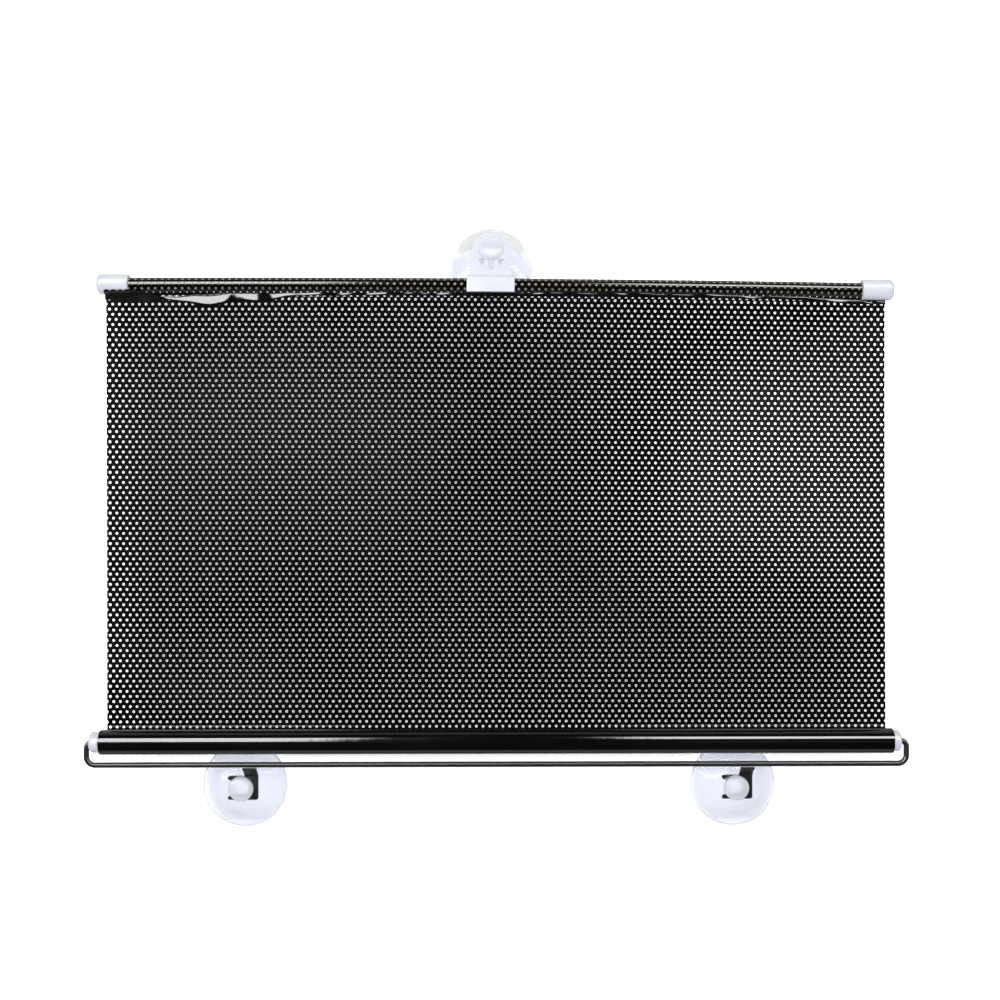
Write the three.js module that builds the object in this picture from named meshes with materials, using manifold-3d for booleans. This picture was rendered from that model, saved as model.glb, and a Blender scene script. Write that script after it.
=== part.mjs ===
// Car side window sunshade: a perforated film that winds onto a sprung roller.
// Millimetres. X runs along the roller, Z is up and +Y points at the window glass.

import * as THREE from 'three';
import { mergeVertices } from 'three/addons/utils/BufferGeometryUtils.js';
import Module from 'manifold-3d';

const wasm = await Module();
wasm.setup();

// Clearance between pieces that touch
const fit = 0.3;

// Film
const filmWidth = 440;
const filmThickness = 0.4;
const filmDrop = 255.3;
const holeDiameter = 9;
const holeColumns = 12;
const holeRows = 10;
const holeMargin = 16;

// Film wound on the roller
const rollOverhang = 1.5;
const rollWidth = filmWidth + 2 * rollOverhang;
const rollRadius = 7;
const tubeRadius = 5;
const tubeWall = 0.8;

// Roller end plugs
const plugRadius = 5.8;
const plugChamfer = 1.2;
const plugSpigotLength = 12;
const plugFlangeLeft = 5.6;
const plugFlangeRight = 4.2;

// Wire bail
const wireRadius = 1.55;
const bailOverhang = 8;
const bailSpan = rollWidth + 2 * bailOverhang;
const bailDrop = 12.8;
const bailTopBend = 3.2;
const bailBottomBend = 4.8;
const bailTipInPlug = 10;

// Return spring and the arbor it turns about
const arborRadius = 1.5;
const arborHubRadius = 3.2;
const arborHubLength = 11;
const arborSocketDepth = 6.5;
const springWireRadius = 0.4;
const springCoilRadius = 2.9;
const springLength = 64;
const springTurns = 16;
const anchorLength = 10;

// Top rail
const railTilt = 0.54;
const rodRadius = 4;
const railOverhang = 4.4;
const railSpan = filmWidth + 2 * railOverhang;
const capLength = 17.8;
const capRadius = 5.8;
const capEndWall = 3;
const capRound = 2.4;
const hemTipDrop = 5.9;
const hemTabDrop = 6.9;

// Suction cups, measured from the rim plane towards the knob
const cupRadius = 24.2;
const cupLip = 1.7;
const cupHollow = 6.3;
const cupBellHeight = 9.8;
const cupSpread = 1.6;
const cupNeckRadius = 4;
const cupNeckStart = 11.3;
const cupNeckEnd = 13.6;
const cupHeight = 18.6;
const knobRadius = 7;

// Fork brackets on the wire
const bracketSpacing = 279;
const bracketOffset = 1.2;
const bracketSheet = 1.2;
const bracketSetback = 8.1;
const neckWidth = 7.5;
const forkTopDrop = 7.6;
const forkWidth = 17.1;
const forkHeight = 13.8;
const forkUpperProng = 2.5;
const forkSeat = 9.3;
const forkFlange = 1.7;
const forkCorner = 1.8;

// Clip on the rail, with the tongue that holds the top cup
const clipOffset = -2.6;
const clipWidth = 26.8;
const clipWall = 1.8;
const clipFrontPad = 0.2;
const clipLedgeHeight = 4.6;
const clipLedgeAngle = 136;
const clipArmDrop = 3.4;
const tongueTilt = 26;
const tongueWidth = 22.4;
const tongueThickness = 2;
const tongueRise = 16.3;
const tongueCrown = 12.4;
const fingerSlot = 2.6;
const fingerDepth = 12.6;
const windowGap = 1.6;
const windowRib = 2.4;
const windowWidth = 3.6;
const windowFoot = 1.8;

// Places that follow from the sizes above
const filmY = rollRadius + fit - filmThickness / 2;
const sheetBottom = fit;
const hemInner = rodRadius + fit;
const hemOuter = hemInner + filmThickness;
const boreForWire = wireRadius + fit;
const spigotRadius = tubeRadius - tubeWall - fit;
const plugFace = rollWidth / 2 + fit;
const spigotEnd = plugFace - plugSpigotLength;
const arborStart = -spigotEnd + fit;
const springStart = arborStart + arborHubLength + fit;
const anchorStart = springStart + springLength + fit;
const arborTip = anchorStart + anchorLength + 2;
const slotRadius = cupNeckRadius + fit;
const neckMiddle = (cupNeckStart + cupNeckEnd) / 2;
const forkSlotDrop = forkTopDrop + forkUpperProng + slotRadius;
const railTiltAngle = THREE.MathUtils.degToRad(railTilt);
const tongueTiltAngle = THREE.MathUtils.degToRad(tongueTilt);

const blackFilm = { color: 0x101011, roughness: 0.22, metalness: 0 };
const blackSteel = { color: 0x141416, roughness: 0.38, metalness: 0.3 };
const whitePlastic = { color: 0xe9ecf5, roughness: 0.42, metalness: 0 };
const clearVinyl = { color: 0xe8ebf0, roughness: 0.12, metalness: 0, transparent: true, opacity: 0.4 };
const bareSteel = { color: 0x8f9296, roughness: 0.4, metalness: 0.9 };
const tubePaper = { color: 0xb9a98a, roughness: 0.85, metalness: 0 };
const paleWood = { color: 0xc9b48c, roughness: 0.7, metalness: 0 };

// Closed bodies

/** Turns a closed geometry into a solid, with its faces pointing out. */
function toSolid(geometry) {
  const bare = geometry.index ? geometry.toNonIndexed() : geometry.clone();
  bare.deleteAttribute('normal');
  bare.deleteAttribute('uv');
  const merged = mergeVertices(bare, 1e-5);
  const corner = merged.index.array;
  const place = merged.attributes.position;
  const triangles = [];
  let sixVolumes = 0;
  const a = new THREE.Vector3();
  const b = new THREE.Vector3();
  const c = new THREE.Vector3();
  for (let i = 0; i < corner.length; i += 3) {
    const [p, q, r] = [corner[i], corner[i + 1], corner[i + 2]];
    if (p === q || q === r || r === p) continue;
    triangles.push([p, q, r]);
    a.fromBufferAttribute(place, p);
    b.fromBufferAttribute(place, q);
    c.fromBufferAttribute(place, r);
    sixVolumes += a.dot(b.cross(c));
  }
  const outward = sixVolumes > 0 ? triangles : triangles.map(([p, q, r]) => [p, r, q]);
  return new wasm.Manifold(
    new wasm.Mesh({
      numProp: 3,
      vertProperties: new Float32Array(place.array),
      triVerts: new Uint32Array(outward.flat()),
    }),
  );
}

/** The geometry of a solid, flat shaded. */
function toGeometry(solid) {
  const mesh = solid.getMesh();
  const geometry = new THREE.BufferGeometry();
  geometry.setAttribute('position', new THREE.BufferAttribute(mesh.vertProperties, 3));
  geometry.setIndex(new THREE.BufferAttribute(mesh.triVerts, 1));
  geometry.computeVertexNormals();
  return geometry;
}

function piece(name, solid, finish) {
  const mesh = new THREE.Mesh(toGeometry(solid), new THREE.MeshStandardMaterial(finish));
  mesh.name = name;
  return mesh;
}

/** A revolved body about X. The profile holds [radius, x] pairs from axis to axis, or a closed loop. */
function turnedAlongX(profile, segments) {
  const points = profile.map(([radius, x]) => new THREE.Vector2(radius, x));
  return toSolid(new THREE.LatheGeometry(points, segments).rotateZ(-Math.PI / 2));
}

/** An outline in the YZ plane, drawn as (y, z), made into a bar along X and centred on it. */
function barAlongX(shape, length, curveSegments) {
  const bar = new THREE.ExtrudeGeometry(shape, { depth: length, bevelEnabled: false, curveSegments });
  bar.translate(0, 0, -length / 2);
  const turn = new THREE.Matrix4().makeBasis(
    new THREE.Vector3(0, 1, 0),
    new THREE.Vector3(0, 0, 1),
    new THREE.Vector3(1, 0, 0),
  );
  return toSolid(bar.applyMatrix4(turn));
}

/** An outline in the XZ plane, drawn as (x, z), made into a plate centred on y = 0. */
function plateFacingY(shape, thickness, curveSegments) {
  const plate = new THREE.ExtrudeGeometry(shape, { depth: thickness, bevelEnabled: false, curveSegments });
  plate.translate(0, 0, -thickness / 2);
  return toSolid(plate.rotateX(Math.PI / 2));
}

/** A hole of that outline, which has to run the other way round from the face's own. */
function holeOf(points) {
  return new THREE.Path(THREE.ShapeUtils.isClockWise(points) ? points : points.reverse());
}

function cylinderAlongX(radius, length, segments) {
  return toSolid(new THREE.CylinderGeometry(radius, radius, length, segments).rotateZ(Math.PI / 2));
}

/** A route through given stations, each with its own direction. */
class Route extends THREE.Curve {
  constructor(stations) {
    super();
    this.stations = stations;
    this.steps = stations.length - 1;
  }

  getPointAt(u, target = new THREE.Vector3()) {
    return target.copy(this.stations[Math.round(u * this.steps)].point);
  }

  getTangentAt(u, target = new THREE.Vector3()) {
    return target.copy(this.stations[Math.round(u * this.steps)].direction);
  }
}

/** A round wire along a route. */
function wireAlong(stations, radius, curveSegments) {
  const route = new Route(stations);
  const section = new THREE.Shape().absarc(0, 0, radius, 0, 2 * Math.PI, false);
  return toSolid(
    new THREE.ExtrudeGeometry(section, { steps: route.steps, extrudePath: route, bevelEnabled: false, curveSegments }),
  );
}

/** The stations of a bend in the XZ plane, with angles in degrees. */
function bend(x, z, radius, from, to, steps) {
  return Array.from({ length: steps + 1 }, (_, i) => {
    const angle = THREE.MathUtils.degToRad(from + ((to - from) * i) / steps);
    return {
      point: new THREE.Vector3(x + radius * Math.cos(angle), 0, z + radius * Math.sin(angle)),
      direction: new THREE.Vector3(-Math.sin(angle), 0, Math.cos(angle)),
    };
  });
}

/** The points of a path with its corners rounded. */
function roundedPath(corners, radius, steps) {
  const path = [corners[0]];
  for (let i = 1; i < corners.length - 1; i++) {
    const corner = corners[i];
    const back = corners[i - 1].clone().sub(corner).normalize();
    const ahead = corners[i + 1].clone().sub(corner).normalize();
    const half = Math.acos(THREE.MathUtils.clamp(back.dot(ahead), -1, 1)) / 2;
    const reach = radius / Math.tan(half);
    const start = corner.clone().addScaledVector(back, reach);
    const end = corner.clone().addScaledVector(ahead, reach);
    const curve = new THREE.QuadraticBezierCurve(start, corner, end);
    path.push(...curve.getPoints(steps));
  }
  path.push(corners.at(-1));
  return path;
}

/** The outline of a sheet of that thickness whose middle follows the path. */
function sheetOutline(path, thickness) {
  const sides = path.map((point, i) => {
    const before = path[Math.max(i - 1, 0)];
    const after = path[Math.min(i + 1, path.length - 1)];
    const along = after.clone().sub(before).normalize();
    return new THREE.Vector2(-along.y, along.x).multiplyScalar(thickness / 2);
  });
  const left = path.map((point, i) => point.clone().add(sides[i]));
  const right = path.map((point, i) => point.clone().sub(sides[i]));
  return new THREE.Shape([...left, ...right.reverse()]);
}

// Roller

function wireBail() {
  const leg = bailSpan / 2;
  const inward = new THREE.Vector3(-1, 0, 0);
  const tipLeft = new THREE.Vector3(arborStart + arborSocketDepth - fit, 0, 0);
  const tipRight = new THREE.Vector3(plugFace - bailTipInPlug, 0, 0);
  const bottom = bailBottomBend - bailDrop;
  const stations = [
    { point: tipLeft, direction: inward },
    ...bend(bailTopBend - leg, -bailTopBend, bailTopBend, 90, 180, 5),
    ...bend(bailBottomBend - leg, bottom, bailBottomBend, 180, 270, 6),
    ...bend(leg - bailBottomBend, bottom, bailBottomBend, 270, 360, 6),
    ...bend(leg - bailTopBend, -bailTopBend, bailTopBend, 0, 90, 5),
    { point: tipRight, direction: inward },
  ];
  return wireAlong(stations, wireRadius, 6);
}

/** The film as it lies wound: a spiral whose outer layer ends where the flat film leaves it. */
function filmRoll() {
  const steps = 56;
  const outline = Array.from({ length: steps + 1 }, (_, i) => {
    const share = i / steps;
    const radius = rollRadius - filmThickness * share;
    const angle = -2 * Math.PI * share;
    return new THREE.Vector2(radius * Math.cos(angle), radius * Math.sin(angle));
  });
  const shape = new THREE.Shape(outline.reverse());
  shape.holes.push(new THREE.Path().absarc(0, 0, tubeRadius + fit, 0, 2 * Math.PI, true));
  return barAlongX(shape, rollWidth, 16);
}

function rollerTube() {
  const half = rollWidth / 2;
  const inner = tubeRadius - tubeWall;
  return turnedAlongX(
    [[inner, -half], [tubeRadius, -half], [tubeRadius, half], [inner, half], [inner, -half]],
    32,
  );
}

/** An end plug: a flange outside the roll and a spigot inside the tube, bored for the wire. */
function endPlug(flange) {
  const leadIn = 0.8;
  return turnedAlongX(
    [
      [boreForWire, -plugSpigotLength],
      [spigotRadius - leadIn, -plugSpigotLength],
      [spigotRadius, leadIn - plugSpigotLength],
      [spigotRadius, 0],
      [plugRadius, 0],
      [plugRadius, flange - plugChamfer],
      [plugRadius - plugChamfer, flange],
      [boreForWire, flange],
      [boreForWire, -plugSpigotLength],
    ],
    32,
  );
}

/** The still arbor: its hub grips the wire's tip and has the slot that the spring's end hooks into. */
function springArbor() {
  const length = arborTip - arborStart;
  const tipTaper = 0.6;
  const turned = turnedAlongX(
    [
      [0, arborSocketDepth],
      [boreForWire, arborSocketDepth],
      [boreForWire, 0],
      [arborHubRadius, 0],
      [arborHubRadius, arborHubLength],
      [arborRadius, arborHubLength],
      [arborRadius, length - tipTaper],
      [arborRadius - tipTaper, length],
      [0, length],
    ],
    20,
  );
  const slotWidth = 2 * springWireRadius + 2 * fit;
  const slotLength = 3;
  const slot = new THREE.BoxGeometry(2 * slotLength, slotWidth, 4 * arborHubRadius);
  return turned.subtract(toSolid(slot.translate(arborHubLength, 0, 2 * arborHubRadius + arborRadius)));
}

function torsionSpring() {
  const stepsPerTurn = 8;
  const travel = springLength - 2 * springWireRadius;
  const total = springTurns * stepsPerTurn;
  const slope = travel / (springTurns * 2 * Math.PI);
  const stations = Array.from({ length: total + 1 }, (_, i) => {
    const angle = (2 * Math.PI * i) / stepsPerTurn;
    const [cos, sin] = [Math.cos(angle), Math.sin(angle)];
    return {
      point: new THREE.Vector3(
        springWireRadius + (travel * i) / total,
        springCoilRadius * cos,
        springCoilRadius * sin,
      ),
      direction: new THREE.Vector3(slope, -springCoilRadius * sin, springCoilRadius * cos).normalize(),
    };
  });
  return wireAlong(stations, springWireRadius, 3);
}

/** The collar pressed into the tube: it turns about the arbor and holds the spring's other end. */
function springAnchor() {
  const bore = arborRadius + fit;
  const collar = turnedAlongX(
    [[bore, 0], [spigotRadius, 0], [spigotRadius, anchorLength], [bore, anchorLength], [bore, 0]],
    24,
  );
  const slotWidth = 2 * springWireRadius + 2 * fit;
  const slotDepth = 3;
  const slot = new THREE.BoxGeometry(2 * slotDepth, slotWidth, 2 * spigotRadius);
  return collar.subtract(toSolid(slot.translate(0, 0, spigotRadius + springCoilRadius - springWireRadius - fit)));
}

// Film between the roller and the rail

/** Height of the rail's axis over the roller's, at a place along it. */
function railHeight(x) {
  return filmDrop - x * Math.tan(railTiltAngle);
}

function filmSheet() {
  const half = filmWidth / 2;
  const topGap = (hemTabDrop + fit) / Math.cos(railTiltAngle);
  const topLeft = railHeight(-half) - topGap;
  const topRight = railHeight(half) - topGap;
  const shape = new THREE.Shape([
    new THREE.Vector2(-half, sheetBottom),
    new THREE.Vector2(half, sheetBottom),
    new THREE.Vector2(half, topRight),
    new THREE.Vector2(-half, topLeft),
  ]);
  const columnPitch = (filmWidth - 2 * holeMargin) / (holeColumns - 0.5);
  const rowPitch = (topRight - sheetBottom - 2 * holeMargin) / (holeRows - 1);
  for (let row = 0; row < holeRows; row++) {
    const stagger = (row % 2) * 0.5;
    const z = sheetBottom + holeMargin + row * rowPitch;
    for (let column = 0; column < holeColumns; column++) {
      const x = holeMargin - half + (column + stagger) * columnPitch;
      shape.holes.push(new THREE.Path().absarc(x, z, holeDiameter / 2, 0, 2 * Math.PI, true));
    }
  }
  return plateFacingY(shape, filmThickness, 4);
}

// Top rail

function railRod() {
  const half = railSpan / 2 - capEndWall - fit;
  const edge = 0.5;
  return turnedAlongX(
    [[0, -half], [rodRadius - edge, -half], [rodRadius, edge - half], [rodRadius, half - edge],
      [rodRadius - edge, half], [0, half]],
    24,
  );
}

/** An end cap with its closed, rounded end at x = 0 and its mouth towards +X. */
function railCap() {
  const bore = rodRadius + fit;
  const lip = 0.5;
  const roundSteps = 4;
  const rounded = Array.from({ length: roundSteps + 1 }, (_, i) => {
    const angle = (Math.PI / 2) * (1 - i / roundSteps);
    return [capRadius - capRound + capRound * Math.cos(angle), capRound - capRound * Math.sin(angle)];
  });
  return turnedAlongX(
    [
      [0, 0],
      ...rounded,
      [capRadius, capLength - lip],
      [capRadius - lip, capLength],
      [bore + lip, capLength],
      [bore, capLength - lip],
      [bore, capEndWall],
      [0, capEndWall],
    ],
    32,
  );
}

/** The points of a drop outline: a circle over the top, drawn down to a flat tip below. */
function dropOutline(radius, tipDrop, tipWidth) {
  const reach = Math.hypot(tipDrop, tipWidth / 2);
  const tangent = Math.acos(radius / reach) - Math.atan2(tipWidth / 2, tipDrop);
  const steps = 28;
  const start = tangent - Math.PI / 2;
  const sweep = 2 * Math.PI - 2 * tangent;
  const round = Array.from({ length: steps + 1 }, (_, i) => {
    const angle = start + (sweep * i) / steps;
    return new THREE.Vector2(radius * Math.cos(angle), radius * Math.sin(angle));
  });
  return [...round, new THREE.Vector2(-tipWidth / 2, -tipDrop), new THREE.Vector2(tipWidth / 2, -tipDrop)];
}

/** The film's hem: a welded loop round the rod, ending in the weld's flat tab. */
function filmHem() {
  const weld = 2 * filmThickness;
  const outer = dropOutline(hemOuter, hemTipDrop, weld);
  outer.splice(-2, 2);
  const shape = new THREE.Shape([
    ...outer,
    new THREE.Vector2(-weld / 2, -hemTipDrop),
    new THREE.Vector2(-weld / 2, -hemTabDrop),
    new THREE.Vector2(weld / 2, -hemTabDrop),
    new THREE.Vector2(weld / 2, -hemTipDrop),
  ]);
  const inner = dropOutline(hemInner, hemTipDrop - 2 * filmThickness, filmThickness / 4);
  shape.holes.push(holeOf(inner));
  return barAlongX(shape, railSpan - 2 * (capLength + fit), 1);
}

/** The clip: a C that snaps over the hemmed rod, flat in front, with the keyholed tongue above it. */
function hookClip() {
  const inner = hemOuter + fit;
  const outer = inner + clipWall;
  const armAngle = Math.asin(clipArmDrop / inner);
  const front = -outer - clipFrontPad;
  const ledgeAngle = THREE.MathUtils.degToRad(clipLedgeAngle);
  const grip = new THREE.Shape();
  grip.absarc(0, 0, outer, -armAngle, ledgeAngle, false);
  grip.lineTo(front, clipLedgeHeight);
  grip.lineTo(front, -clipArmDrop);
  grip.absarc(0, 0, inner, Math.PI + armAngle, -armAngle, true);
  const body = barAlongX(grip, clipWidth, 16);

  const half = tongueWidth / 2;
  const root = -clipWall;
  const tongue = new THREE.Shape();
  tongue.moveTo(-half, root);
  tongue.lineTo(half, root);
  tongue.lineTo(half, tongueRise);
  tongue.absellipse(0, tongueRise, half, tongueCrown, 0, Math.PI, false, 0);
  tongue.lineTo(-half, root);
  const keyhole = new THREE.Path();
  const slotMeets = Math.asin(fingerSlot / 2 / slotRadius);
  keyhole.absarc(0, tongueRise, slotRadius, slotMeets - Math.PI / 2, 1.5 * Math.PI - slotMeets, false);
  keyhole.lineTo(-fingerSlot / 2, tongueRise - fingerDepth);
  keyhole.lineTo(fingerSlot / 2, tongueRise - fingerDepth);
  tongue.holes.push(holeOf(keyhole.getPoints(10)));
  for (const side of [-1, 1]) {
    const windowTop = tongueRise - slotRadius - windowGap;
    const windowFrom = fingerSlot / 2 + windowRib;
    const window = [
      new THREE.Vector2(side * windowFrom, windowTop),
      new THREE.Vector2(side * (windowFrom + windowWidth), windowTop),
      new THREE.Vector2(side * (windowFrom + windowWidth / 3), tongueRise - fingerDepth + windowFoot),
    ];
    tongue.holes.push(holeOf(window));
  }
  const plate = plateFacingY(tongue, tongueThickness, 10);
  const leaned = plate.rotate([-tongueTilt, 0, 0]).translate([0, 0, outer]);
  return body.add(leaned);
}

// Suction cups and their brackets

/** A cup about its own axis: rim plane at x = 0, knob towards +X. */
function suctionCup() {
  const hollowSteps = 5;
  const hollowEdge = cupRadius - cupLip;
  const hollow = Array.from({ length: hollowSteps }, (_, i) => {
    const share = i / hollowSteps;
    return [hollowEdge * share, cupHollow * (1 - share * share)];
  });
  const bellSteps = 6;
  const shoulder = cupNeckRadius + 2.6;
  const lipHeight = 0.9;
  const bell = Array.from({ length: bellSteps + 1 }, (_, i) => {
    const share = i / bellSteps;
    const rise = Math.sin((share * Math.PI) / 2) ** cupSpread;
    return [cupRadius + (shoulder - cupRadius) * share, lipHeight + (cupBellHeight - lipHeight) * rise];
  });
  const knobEdge = 0.7;
  const crownSteps = 4;
  const crownHeight = 2.2;
  const crown = Array.from({ length: crownSteps + 1 }, (_, i) => {
    const angle = (i / crownSteps) * (Math.PI / 2);
    return [knobRadius * Math.cos(angle), cupHeight - crownHeight + crownHeight * Math.sin(angle)];
  });
  crown[crownSteps][0] = 0;
  return turnedAlongX(
    [
      ...hollow,
      [hollowEdge, 0],
      [cupRadius, 0],
      ...bell,
      [cupNeckRadius, cupNeckStart],
      [cupNeckRadius, cupNeckEnd],
      [knobRadius - knobEdge, cupNeckEnd],
      [knobRadius, cupNeckEnd + knobEdge],
      ...crown,
    ],
    26,
  );
}

/** The front view of a bracket: neck, plate and the slot between its two prongs. */
function forkFace() {
  const right = neckWidth / 2;
  const left = right - forkWidth;
  const top = -forkTopDrop;
  const bottom = top - forkHeight;
  const seatX = right - forkSeat;
  const slotTop = slotRadius - forkSlotDrop;
  const slotBottom = -slotRadius - forkSlotDrop;
  const upperTip = (top - slotTop) / 2;
  const lowerTip = Math.min(forkCorner, (slotBottom - bottom) / 2);
  const face = new THREE.Shape();
  face.moveTo(-right, 0);
  face.lineTo(-right, top);
  face.absarc(left + upperTip, top - upperTip, upperTip, Math.PI / 2, 1.5 * Math.PI, false);
  face.absarc(seatX, -forkSlotDrop, slotRadius, Math.PI / 2, -Math.PI / 2, true);
  face.absarc(left + lowerTip, slotBottom - lowerTip, lowerTip, Math.PI / 2, Math.PI, false);
  face.absarc(left + lowerTip, bottom + lowerTip, lowerTip, Math.PI, 1.5 * Math.PI, false);
  face.absarc(right - forkCorner, bottom + forkCorner, forkCorner, -Math.PI / 2, 0, false);
  face.lineTo(right, 0);
  return face;
}

/** A stamped fork: sheet bent back and down from the wire, then blanked to its front view. */
function forkBracket() {
  const underWire = -wireRadius - fit - bracketSheet / 2;
  const bottom = -forkTopDrop - forkHeight + bracketSheet / 2;
  const bends = [
    new THREE.Vector2(-wireRadius / 2, underWire),
    new THREE.Vector2(wireRadius / 2, underWire),
    new THREE.Vector2(bracketSetback, -forkTopDrop),
    new THREE.Vector2(bracketSetback, bottom),
    new THREE.Vector2(bracketSetback + forkFlange, bottom),
  ];
  const strip = barAlongX(sheetOutline(roundedPath(bends, 0.9, 3), bracketSheet), 3 * forkWidth, 1);
  const face = plateFacingY(forkFace(), 4 * bracketSetback, 5);
  return strip.intersect(face).subtract(cylinderAlongX(wireRadius + fit, 4 * forkWidth, 24));
}

// Assembly

const rollerParts = new THREE.Group();
const [leftPlug, rightPlug] = [endPlug(plugFlangeLeft), endPlug(plugFlangeRight)];
rollerParts.add(piece('wire_bail', wireBail(), blackSteel));
rollerParts.add(piece('film_roll', filmRoll(), blackFilm));
rollerParts.add(piece('roller_tube', rollerTube(), tubePaper));
const plugLeft = piece('plug_left', leftPlug, whitePlastic);
plugLeft.rotation.z = Math.PI;
plugLeft.position.x = -plugFace;
const plugRight = piece('plug_right', rightPlug, whitePlastic);
plugRight.position.x = plugFace;
const arbor = piece('spring_arbor', springArbor(), bareSteel);
arbor.position.x = arborStart;
const spring = piece('torsion_spring', torsionSpring(), bareSteel);
spring.position.x = springStart;
const anchor = piece('spring_anchor', springAnchor(), whitePlastic);
anchor.position.x = anchorStart;
rollerParts.add(plugLeft, plugRight, arbor, spring, anchor);

const cup = suctionCup();
for (const [side, direction] of [['left', -1], ['right', 1]]) {
  const x = bracketOffset + (direction * bracketSpacing) / 2;
  const bracket = piece(`bracket_${side}`, forkBracket(), blackSteel);
  bracket.position.set(x, 0, -bailDrop);
  const lowerCup = piece(`cup_${side}`, cup, clearVinyl);
  lowerCup.rotation.z = -Math.PI / 2;
  lowerCup.position.set(
    x + neckWidth / 2 - forkSeat,
    bracketSetback + neckMiddle,
    -bailDrop - forkSlotDrop,
  );
  rollerParts.add(bracket, lowerCup);
}

const sheet = piece('film_sheet', filmSheet(), blackFilm);
sheet.position.y = filmY;

const rail = new THREE.Group();
rail.position.set(0, filmY, filmDrop);
rail.rotation.y = railTiltAngle;
rail.add(piece('rail_rod', railRod(), paleWood), piece('film_hem', filmHem(), blackFilm));
const capLeft = piece('rail_cap_left', railCap(), whitePlastic);
capLeft.position.x = -railSpan / 2;
const capRight = piece('rail_cap_right', railCap(), whitePlastic);
capRight.rotation.z = Math.PI;
capRight.position.x = railSpan / 2;
rail.add(capLeft, capRight);

const clipParts = new THREE.Group();
clipParts.position.x = clipOffset;
clipParts.add(piece('hook_clip', hookClip(), whitePlastic));
const tongueParts = new THREE.Group();
tongueParts.position.z = hemOuter + fit + clipWall;
tongueParts.rotation.x = -tongueTiltAngle;
const topCup = piece('cup_top', cup, clearVinyl);
topCup.rotation.z = -Math.PI / 2;
topCup.position.set(0, neckMiddle, tongueRise);
tongueParts.add(topCup);
clipParts.add(tongueParts);
rail.add(clipParts);

const shade = new THREE.Group();
shade.add(rollerParts, sheet, rail);

// The origin is the middle of the whole shade
const extent = new THREE.Box3().setFromObject(shade, true);
shade.position.copy(extent.getCenter(new THREE.Vector3()).negate());
shade.updateMatrixWorld(true);

export default shade;
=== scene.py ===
import math

import bpy
import numpy as np
from mathutils import Matrix, Vector


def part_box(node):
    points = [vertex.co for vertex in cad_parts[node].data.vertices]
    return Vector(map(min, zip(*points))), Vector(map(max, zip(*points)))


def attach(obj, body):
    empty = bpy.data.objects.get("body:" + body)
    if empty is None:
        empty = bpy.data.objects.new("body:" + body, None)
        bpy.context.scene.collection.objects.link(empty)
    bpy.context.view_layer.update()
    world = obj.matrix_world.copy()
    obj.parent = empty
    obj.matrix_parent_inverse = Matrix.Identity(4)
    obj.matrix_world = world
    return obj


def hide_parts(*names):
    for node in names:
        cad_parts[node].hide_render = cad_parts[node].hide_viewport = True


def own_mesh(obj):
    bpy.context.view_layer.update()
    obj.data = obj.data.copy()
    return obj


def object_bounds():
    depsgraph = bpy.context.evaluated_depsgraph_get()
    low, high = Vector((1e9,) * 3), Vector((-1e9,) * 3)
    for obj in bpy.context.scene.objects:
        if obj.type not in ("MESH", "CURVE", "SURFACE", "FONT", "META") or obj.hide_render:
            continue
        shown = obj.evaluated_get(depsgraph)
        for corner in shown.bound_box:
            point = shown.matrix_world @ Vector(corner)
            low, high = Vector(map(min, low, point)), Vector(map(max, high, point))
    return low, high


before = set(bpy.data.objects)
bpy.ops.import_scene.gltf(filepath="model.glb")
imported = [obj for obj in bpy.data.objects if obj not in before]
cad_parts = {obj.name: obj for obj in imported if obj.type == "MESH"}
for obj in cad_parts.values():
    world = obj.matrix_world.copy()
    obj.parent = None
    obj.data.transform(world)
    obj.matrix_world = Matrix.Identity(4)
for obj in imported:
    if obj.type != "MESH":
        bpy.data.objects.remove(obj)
cad_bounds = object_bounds()

MM = 0.001

# Camera, set so that the film's plane falls on the photograph's pixels
FOCAL = 54.0
CAMERA_DISTANCE = 846.7 * MM
CAMERA_AT = Vector((2.37 * MM, 0.0, 14.07 * MM))
CAMERA_ROLL = math.radians(0.13)

# Film and its perforation
FILM_WIDTH = 440 * MM
SEAM_DROP = 6.9 * MM
HOLE_RADIUS = 0.76 * MM
COLUMN_PITCH = 3.754 * MM
ROW_PITCH = 2.84 * MM
HOLE_SIDES = 12

# Rail, hem and clip, in mm about the rail's axis
RAIL_HALF = 224.4
HEM_RADIUS = 4.25
HEM_SAG = 0.4
HEM_TIP = 5.9
HEM_TAB = 6.9
HEM_END_GAP = 0.3
CAP_RADIUS = 5.8
CAP_LENGTH = 17.8
CAP_BORE = 4.0
ROD_RADIUS = 3.7
ROD_END_GAP = 0.3
ROD_BOW = 1.1
BOW_HALF = 205.7
CAP_WALL = 3.0
CLIP_OFFSET = -2.6
CLIP_WIDTH = 26.8
CLIP_INNER = 5.0
CLIP_WALL = 1.8
CLIP_FRONT = 7.0
CLIP_ARM_DROP = 3.4
CLIP_LEDGE = 4.6
TONGUE_TILT = math.radians(26)
TONGUE_WIDTH = 22.4
TONGUE_THICKNESS = 2.0
TONGUE_RISE = 16.3
TONGUE_CROWN = 12.4
KEYHOLE_RADIUS = 4.3
FINGER_SLOT = 2.6
FINGER_DEPTH = 12.6

# Suction cups, in mm along the cup's own axis from its rim
CUP_RADIUS = 24.2
CUP_LIP = 1.7
CUP_HOLLOW = 6.3
CUP_NECK = 10.4
KNOB_SIDE = (13.5, 15.0)
RIM_HEIGHT = 1.3
RIM_INNER = 23.3
TOP_CUP_DEPTH = 12.45

# Roller and bail, in mm about the roller's axis
ROLL_RADIUS = 7.0
ROLL_HALF = 221.5
ROLL_LAP = 0.12
CORE_BORE = 5.15
CORE_GAP = 0.04
PLUG_RADIUS = 5.8
WIRE_RADIUS = 1.55
BAIL_HALF = 229.5
BAIL_DROP = 12.8
WIRE_TIPS = (-203.3, 211.8)

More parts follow.
